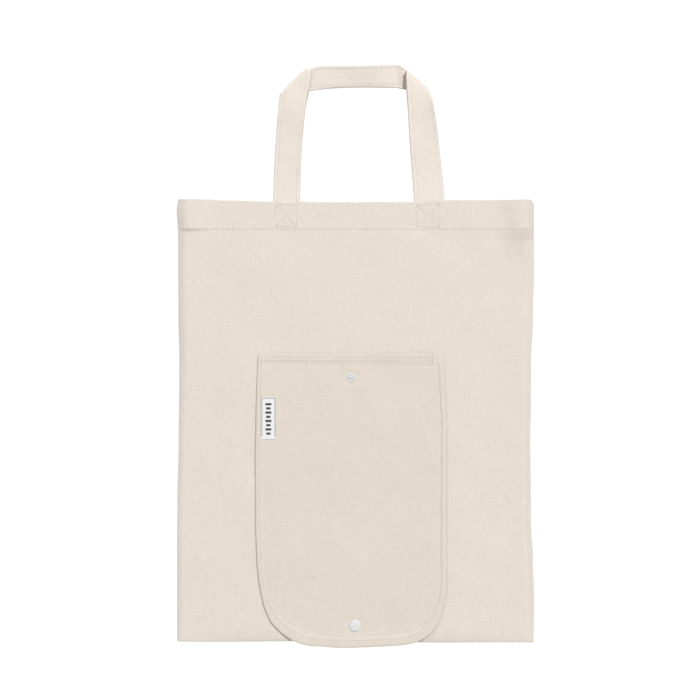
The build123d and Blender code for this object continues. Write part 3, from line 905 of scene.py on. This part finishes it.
def pouch_relief(x, z, edge):
    """How far the pouch face stands out from its own flat plane."""
    rim, edge = edge, edge - strip_widening(z)
    strip = 1 - smooth((edge - STRIP) / 0.9)
    tilt = 1.4 * (x - POUCH_MIDDLE) / POUCH_HALF
    band = smooth((z - BAND_BOTTOM + 0.7 + tilt) / 1.1)
    raised = np.maximum(strip, 0.7 * band)
    right = smooth((x - POUCH_MIDDLE) / 60)
    relief = STRIP_RAISE * raised + 0.35 * right * strip * (1 - band)
    groove = bump(edge, STRIP_ROW, 0.55) * (1 - band) * (1 - 0.6 * right)
    groove = np.maximum(groove, 0.7 * bump(z + 0.4 * tilt, POUCH_TOP - BAND_ROW, 0.6))
    in_band = smooth((edge - STRIP) / 4) * (0.6 + 0.4 * wobble(x, 30, 79))
    relief -= 0.22 * bump(z + tilt, BAND_BOTTOM - 3.4, 0.6) * in_band
    relief = relief - 0.22 * groove - 0.7 * bump(edge, STRIP + 0.35, 0.38) * (1 - band) * right
    relief -= 0.55 * smooth((3.0 - rim) / 3.0) ** 2 * (1 - 0.6 * band)
    inside = smooth((edge - STRIP) / 12)
    relief += inside * (0.30 * ripple(x, z, 90, 71) + 0.13 * ripple(x, z, 36, 72))
    around = np.arctan2(x - POUCH_MIDDLE, z - POUCH_CURVE - 30)
    gather = 0.10 * (np.sin(around * 46) + np.sin(around * 29 + 1.0))
    relief += gather * smooth((POUCH_CURVE + 20 - z) / 60) * bump(edge, STRIP + 4, 6)
    hem_mark = bump(z, POCKET_MOUTH_Z, 0.8) - 0.8 * bump(z, POCKET_MOUTH_Z + 2.2, 0.7)
    relief += (0.07 + 0.09 * smooth((-x - 60) / 20)) * hem_mark * inside
    for snap, depth, count, phase in DIMPLES:
        dx, dz = x - snap[0], z - snap[2]
        r = np.hypot(dx, dz)
        dimple = smooth((r - 5.4) / 5.0) - 1
        folds = 0.22 * np.cos(count * np.arctan2(dz, dx) + phase) * bump(r, 10, 5.0)
        crease = 0.30 * bump(dx, 0, 1.6) * smooth((-dz - 4) / 4) * bump(dz, -14, 16)
        relief += depth * (dimple + folds - crease) * (1 - 0.7 * raised)
    return relief


def pouch_hang(z):
    """How far the pouch stands out below its sewn edge; its lower end comes in again."""
    return 0.22 * smooth((BAND_BOTTOM + 4 - z) / 90) - 0.30 * smooth((100 - z) / 80)


def pouch_face_y(x, z, edge):
    return FACE_Y + 0.80 - pouch_hang(z) - pouch_relief(x, z, edge)


def pouch_us(spacing):
    """Places across the pouch, from -1 to 1, closest together at its raised edges."""
    wide = POUCH_HALF
    half = steps(0, (wide - 10, spacing), (wide - 7.2, 0.9), (wide - 3.4, 0.42), (wide - 0.8, 0.65))
    return np.concatenate([-half[:0:-1], half]) / wide


def pouch_layer(name, x, z, outer_y, inner_y, v, **ends):
    px, pz = pouch_outline(x, z)
    return slab(name, join(px, outer_y, pz), join(px, inner_y, pz), join(x + 900, v),
                POUCH_COTTON, **ends)


def pouch_face(name, w_values, flat_rows):
    x, z, edge = pouch_point(*np.meshgrid(pouch_us(2.8), w_values))
    outer_y = pouch_face_y(x, z, edge)
    edge = edge - strip_widening(z)
    strip = 1 - smooth((edge - STRIP) / 0.9)
    band = smooth((z - BAND_BOTTOM) / 0.9)
    inner_y = outer_y + CLOTH + STRIP_RAISE * 0.85 * np.maximum(strip, band)
    round_part = np.arctan2(x - POUCH_MIDDLE, np.maximum(POUCH_CURVE - z, 0)) * 80
    side_part = np.sign(x - POUCH_MIDDLE) * (40 * math.pi + z - POUCH_CURVE)
    along = np.where(z < POUCH_CURVE, round_part, side_part)
    amount = 0.45 * bump(edge, STRIP + 0.5, 2.4) + 0.2 * bump(z, BAND_BOTTOM, 2.4)
    amount = amount * (1 - bump(z, BAND_BOTTOM - 5, 2.0))
    return pouch_layer(name, x, z, outer_y, inner_y, z, flat_rows=flat_rows,
                       seam=(amount, np.where(z > BAND_BOTTOM - 5, x, along)))


def pocket_layer(name, w_values, flat_rows):
    """The pocket layer behind the face; its mouth is hemmed."""
    x, z, _ = pouch_point(*np.meshgrid(pouch_us(4.0), w_values), inset=0.7)
    hem = smooth((POCKET_MOUTH_Z + 7 - z) / 0.8)
    front_y = FACE_Y + 1.62 - pouch_hang(z) - 0.08 * ripple(x, z, 80, 91)
    back_y = front_y + 0.5 + 0.45 * hem - 0.2 * bump(z, POCKET_MOUTH_Z + 6, 0.7) * hem
    return pouch_layer(name, x, z, back_y, front_y, z + 500, flat_rows=flat_rows)


def pouch_part(piece, slot_name, part, *nodes):
    stand_in(piece, slot_name, *nodes)
    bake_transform(piece)
    return piece


def edge_run(high_w):
    """Stitch path along the pouch's edge: down the left, round the end and up the right."""
    share = 1 - STRIP_ROW / POUCH_HALF
    down_left = np.arange(high_w, POUCH_CURVE, -1.2)
    up_right = np.arange(POUCH_CURVE, high_w, 1.2)
    turn = np.linspace(0, math.pi, 150)
    power = 2 / np.where(np.cos(turn) > 0, ROUND_LEFT, ROUND_RIGHT)
    down = np.abs(np.sin(turn)) ** power
    across = -np.sign(np.cos(turn)) * np.abs(np.cos(turn)) ** power
    inset = STRIP_ROW + strip_widening(POUCH_CURVE * (1 - down))
    us = np.concatenate([np.full(len(down_left), -share), across * (1 - inset / POUCH_HALF),
                         np.full(len(up_right), share)])
    round_z = POUCH_CURVE - (POUCH_CURVE + POUCH_DROOP) * down * (1 - inset / POUCH_CURVE)
    xs, zs = POUCH_MIDDLE + POUCH_HALF * us, np.concatenate([down_left, round_z, up_right])
    keep = np.concatenate([[True], np.hypot(np.diff(xs), np.diff(zs)) > 0.4])
    return xs[keep], zs[keep]


def pouch_run(xs, zs, lift=0.02):
    def face(x, z):
        return pouch_face_y(x, z, pouch_edge_distance(x, z))
    return surface_run(face, xs, zs, -1, lift, pouch_outline)


def pouch():
    edge_steps = ((POUCH_CURVE - 10, 2.8), (POUCH_CURVE - 7.2, 0.9), (POUCH_CURVE - 3.4, 0.42),
                  (POUCH_CURVE - 0.8, 0.65))
    below = steps(POUCH_SPLIT_Z, (158, 3.0), (142, 0.9), (103, 2.4), (POUCH_CURVE, 0.6))
    below = np.concatenate([below[:-1], POUCH_CURVE - steps(0, (4.5, 0.6), *edge_steps)])
    above = steps(POUCH_TOP - 0.8, (POUCH_TOP - 3.4, 0.4), (BAND_BOTTOM + 3, 1.2),
                  (BAND_BOTTOM - 7, 0.6), (268, 1.3), (POUCH_SPLIT_Z, 2.8))
    pocket_above = steps(POUCH_TOP - 1.5, (BAND_BOTTOM + 3, 2.0), (BAND_BOTTOM - 7, 0.8),
                         (POUCH_SPLIT_Z, 4.0))
    pocket_below = steps(POUCH_SPLIT_Z, (158, 4.0), (142, 0.9), (POCKET_MOUTH_Z + 9, 3.5),
                         (POCKET_MOUTH_Z + 5, 0.4), (POCKET_MOUTH_Z + 0.5, 1.4))
    layers = (
        # maker, piece, heights, row cut flat, part, nodes
        (pouch_face, "pouch_face_top", above, -1, "top", "pouch_band", "pouch_face_upper"),
        (pouch_face, "pouch_face_bottom", below, 0, "bottom", "pouch_face_flap"),
        (pocket_layer, "pouch_pocket_top", pocket_above, -1, "top", "pouch_pocket_upper"),
        (pocket_layer, "pouch_pocket_bottom", pocket_below, 0, "bottom", "pouch_pocket_flap"))
    face_top, face_bottom, pocket_top, pocket_bottom = (
        pouch_part(make(name, heights, (cut_row,)), "pouch_cotton", part, *nodes)
        for make, name, heights, cut_row, part, *nodes in layers)
    pouch_seams()


def pouch_seams():
    """Topstitching round the edge and along the band, two short rows across the band's right
    end, and the small bar tack under the band, left of the snap.
    """
    xs, zs = edge_run(BAND_BOTTOM + 2)
    upper_runs = []
    for side in (xs < POUCH_MIDDLE, xs > POUCH_MIDDLE):
        keep = side & (zs > POUCH_SPLIT_Z)
        order = np.argsort(zs[keep])
        upper_runs.append(pouch_run(xs[keep][order], zs[keep][order]))
    keep = zs <= POUCH_SPLIT_Z
    lower_runs = [pouch_run(xs[keep], zs[keep])]
    band_x = np.arange(POUCH_MIDDLE - POUCH_HALF + 3, POUCH_MIDDLE + POUCH_HALF - 9, 1.2)
    upper_runs.append(pouch_run(band_x, np.full_like(band_x, POUCH_TOP - BAND_ROW)))
    band_runs = [pouch_run(band_x, np.full_like(band_x, BAND_BOTTOM + 1.9))]
    end_z = np.linspace(BAND_BOTTOM - 1.5, POUCH_TOP - 1, 12)
    for offset in (0.0, 0.7):
        end_x = np.full_like(end_z, POUCH_MIDDLE + POUCH_HALF - 12.5 + offset)
        band_runs.append(pouch_run(end_x, end_z, 0.1))
    tack_z = np.linspace(BAND_BOTTOM - 3.2, BAND_BOTTOM - 0.6, 4)
    tack_runs = [pouch_run(np.full(4, TACK_X + TACK_PITCH * k), tack_z)
                 for k in range(TACK_STITCHES)]
    rows = (
        # piece, runs, thread, stitch length, gap, part, nodes
        ("pouch_edge_stitches_top", upper_runs, THREAD, 2.7, 0.9, "top", "pouch_stitching_upper"),
        ("pouch_edge_stitches_bottom", lower_runs, THREAD, 2.7, 0.9, "bottom",
         "pouch_stitching_flap"),
        ("pouch_band_stitches", band_runs, THREAD, 2.2, 0.7, "top", "pouch_band_stitching"),
        ("pouch_bar_tack", tack_runs, PALE_THREAD, 2.6, 0.3, "top"))
    for name, runs, material, length, gap, part, *nodes in rows:
        pouch_part(stitches(name, runs, material, length, gap), "thread", part, *nodes)


# ---- label and snaps ----------------------------------------------------------------------
LABEL_BORDER = 1.3
LABEL_BARS = 8
BAR_PITCH, BAR_HEIGHT = 4.4, 2.2
BAR_HALF_WIDTHS = (2.2, 3.1)


def label_y(x, z):
    """Front of the tape, which lies on the pouch's face; x and z are true places, not even ones."""
    moved_x, moved_z = pouch_outline(x, z)
    x, z = 2 * x - moved_x, 2 * z - moved_z
    y = pouch_face_y(x, z, pouch_edge_distance(x, z))
    return y - 0.30 - 0.12 * smooth((x - low("label")[0] - 5) / 4) - 0.06 * ripple(x, z, 22, 61)


def label_part(name, xs, zs, raised, thickness, material):
    x, z = np.meshgrid(xs, zs)
    face = join(x, label_y(x, z) - raised, z)
    return slab(name, face, face + np.array([0, thickness, 0]), join(x, z), material)


def label():
    """A folded white tape with a grey border and a plain ladder of bars."""
    (x0, _, z0), (x1, _, z1) = low("label"), high("label")
    tape = label_part("label_tape_piece", steps(x0, (x1 + 1.2, 0.8)), steps(z0, (z1, 0.9)),
                      0, 0.38, LABEL_WHITE)
    stand_in(tape, "label_tape", "label")
    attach(tape, "pouch")

    left, right, top = x0 + 0.15, x1 + 1.05, z1 - 0.2
    inner_left, inner_right = left + LABEL_BORDER, right - LABEL_BORDER
    patches = [("border_1", LABEL_GREY, left, inner_left, z0 + 2.5, top),
               ("border_2", LABEL_GREY, inner_right, right, z0 + 2.5, top),
               ("border_3", LABEL_GREY, inner_left + 0.1, inner_right - 0.1,
                top - LABEL_BORDER, top)]
    middle = (x0 + x1) / 2 + 0.5
    for k in range(LABEL_BARS):
        wide = BAR_HALF_WIDTHS[k % 2]
        bottom = z0 + 4.8 + k * BAR_PITCH
        patches.append((f"bar_{k + 1}", LABEL_DARK, middle - wide, middle + wide, bottom,
                        bottom + BAR_HEIGHT))
    for name, material, start_x, end_x, start_z, end_z in patches:
        piece = label_part(f"label_{name}", steps(start_x, (end_x, 0.7)),
                           steps(start_z, (end_z, 0.9)), 0.10, 0.14, material)
        stand_in(piece, "label_tape")
        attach(piece, "pouch")


def dome(radius, rise, base, n=9):
    """Profile of a shallow dome, from its rim to near its middle."""
    ball = (radius ** 2 + rise ** 2) / (2 * rise)
    return [(r, base + math.sqrt(ball ** 2 - r ** 2) - (ball - rise))
            for r in np.linspace(radius, 0.25, n)]


CAP = [(0.25, -0.6), (2.0, -0.6), (2.0, 0.0), (5.4, 0.0), (5.9, 0.1), (6.1, 0.35), (6.05, 0.7),
       (5.75, 1.0)] + dome(5.4, 0.5, 1.2)
SOCKET = [(0.25, 0.0), (5.0, 0.0), (5.2, 0.2), (5.1, 0.55), (4.2, 0.7), (3.9, 1.45), (3.6, 1.6),
          (3.0, 1.6), (2.7, 1.4), (2.6, 0.7), (2.0, 0.6), (0.25, 0.6)]
STUD = [(0.25, -0.5), (4.8, -0.5), (5.2, 0.1), (5.15, 0.3), (4.9, 0.4), (4.4, 0.45), (4.1, 0.6),
        (3.6, 0.7), (3.1, 0.6), (2.8, 0.42), (2.4, 0.36), (2.2, 0.4), (2.0, 0.75), (1.7, 0.95),
        (1.2, 1.05), (0.5, 1.08), (0.25, 1.08)]
BACKING = [(0.25, -1.2), (1.6, -1.2), (1.6, 0.0), (5.5, 0.0), (6.1, 0.15), (6.1, 0.4),
           (5.6, 0.6)] + dome(5.2, 0.25, 0.62, 5)


def snaps():
    """The four turned pieces: a cap and its socket on the flap, a stud and its backing above."""
    cap_y, stud_y = (float(pouch_face_y(x, z, 30.0)) for x, _, z in (FLAP_SNAP, UPPER_SNAP))
    parts = (
        # piece, profile, centre, y of its seat, facing, material, slot, body, node
        ("cap", CAP, FLAP_SNAP, cap_y + 0.15, -1, SNAP_WHITE, "white_plastic", "pouch_flap",
         "flap_snap_cap"),
        ("socket", SOCKET, FLAP_SNAP, cap_y + 0.65, 1, SNAP_WHITE, "white_plastic", "pouch_flap",
         "flap_snap_socket"),
        ("stud", STUD, UPPER_SNAP, stud_y + 0.25, -1, SNAP_CLEAR, "clear_plastic", "pouch",
         "pouch_snap_stud"),
        ("backing", BACKING, UPPER_SNAP, FACE_Y + 1.9, 1, SNAP_CLEAR, "clear_plastic", "pouch",
         "pouch_snap_backing"))
    for name, profile, snap, y, facing, material, slot_name, body, node in parts:
        piece = lathe(f"snap_{name}_piece", (snap[0], y, snap[2]), profile, material, facing)
        stand_in(piece, slot_name, node)
        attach(piece, body)


# ---- stage --------------------------------------------------------------------------------
WORLD = 0.38                # brightness of the surroundings, on the object
BACKDROP = 1.06             # and as the camera sees them
FLOOR_SHADE = 0.64
VIEW_X, VIEW_Z = -0.0052, 0.311         # the middle of the view, in metres
CAMERA_DISTANCE = 2.04
LIGHTS = (
    # name, place, what it points at, size, watts
    ("key", (2.5, -5.5, 4.9), (0, 0, 0.3), 1.4, 446),
    ("top_fill", (-1.0, -1.3, 2.2), (0, 0, 0.5), 0.7, 11.5),
    ("back_fill", (-2.4, 3.4, 2.6), (0, 0, 0.3), 1.6, 130))


def floor():
    """A round pale floor, below what the camera sees."""
    mesh = bpy.data.meshes.new("floor")
    radius, drop, sides = 1.25, -0.34, 96
    angles = [2 * math.pi * k / sides for k in range(sides)]
    rim = [(radius * math.cos(a), radius * math.sin(a), drop) for a in angles]
    mesh.from_pydata(rim, [], [tuple(range(sides))])
    material, nodes, shader = new_material("floor_paint")
    place = nodes.add("ShaderNodeTexCoord").outputs["Object"]
    shade = nodes.scaled(nodes.noise(place, 3.0), 0.01, FLOOR_SHADE)
    nodes.fill(shader, Base_Color=nodes.scale_colour((1.0, 1.0, 1.0), shade), Roughness=0.9)
    mesh.materials.append(material)
    add_to_scene("floor", mesh)


def aim(thing, target):
    direction = Vector(target) - Vector(thing.location)
    thing.rotation_euler = direction.to_track_quat("-Z", "Y").to_euler()


def area_light(name, place, target, size, energy):
    data = bpy.data.lights.new(name, "AREA")
    data.shape = "DISK"
    data.size = size
    data.energy = energy
    light = add_to_scene(name, data)
    light.location = place
    aim(light, target)


def studio():
    world = bpy.data.worlds.new("studio")
    world.use_nodes = True
    nodes = Nodes(world.node_tree)
    background = world.node_tree.nodes["Background"]
    seen = nodes.add("ShaderNodeLightPath").outputs["Is Camera Ray"]
    nodes.fill_in_order(background, (1, 1, 1, 1), nodes.scaled(seen, BACKDROP - WORLD, WORLD))
    scene = bpy.context.scene
    scene.world = world
    for light in LIGHTS:
        area_light(*light)
    scene.view_settings.view_transform = "Standard"
    scene.view_settings.look = "None"


def camera():
    data = bpy.data.cameras.new("camera")
    data.lens = 100
    data.sensor_width = 36
    data.clip_end = 40
    view = add_to_scene("camera", data)
    view.location = (VIEW_X, low("front_panel_centre")[1] * MM - CAMERA_DISTANCE, VIEW_Z)
    aim(view, (VIEW_X, 0, VIEW_Z))
    bpy.context.scene.camera = view


floor()
studio()
camera()
bag_body()
for seam in (bottom_seam, side_seam):
    for wing_name, wing in WINGS.items():
        seam(wing, wing_name)
handle("front", -1, 8.0, 0.0, 0.0, 21)
handle("back", 1, -1.6, 0.8, 1.8, 31)
for name, side in SIDES.items():
    box_stitching(name, side)
pouch()
label()
snaps()
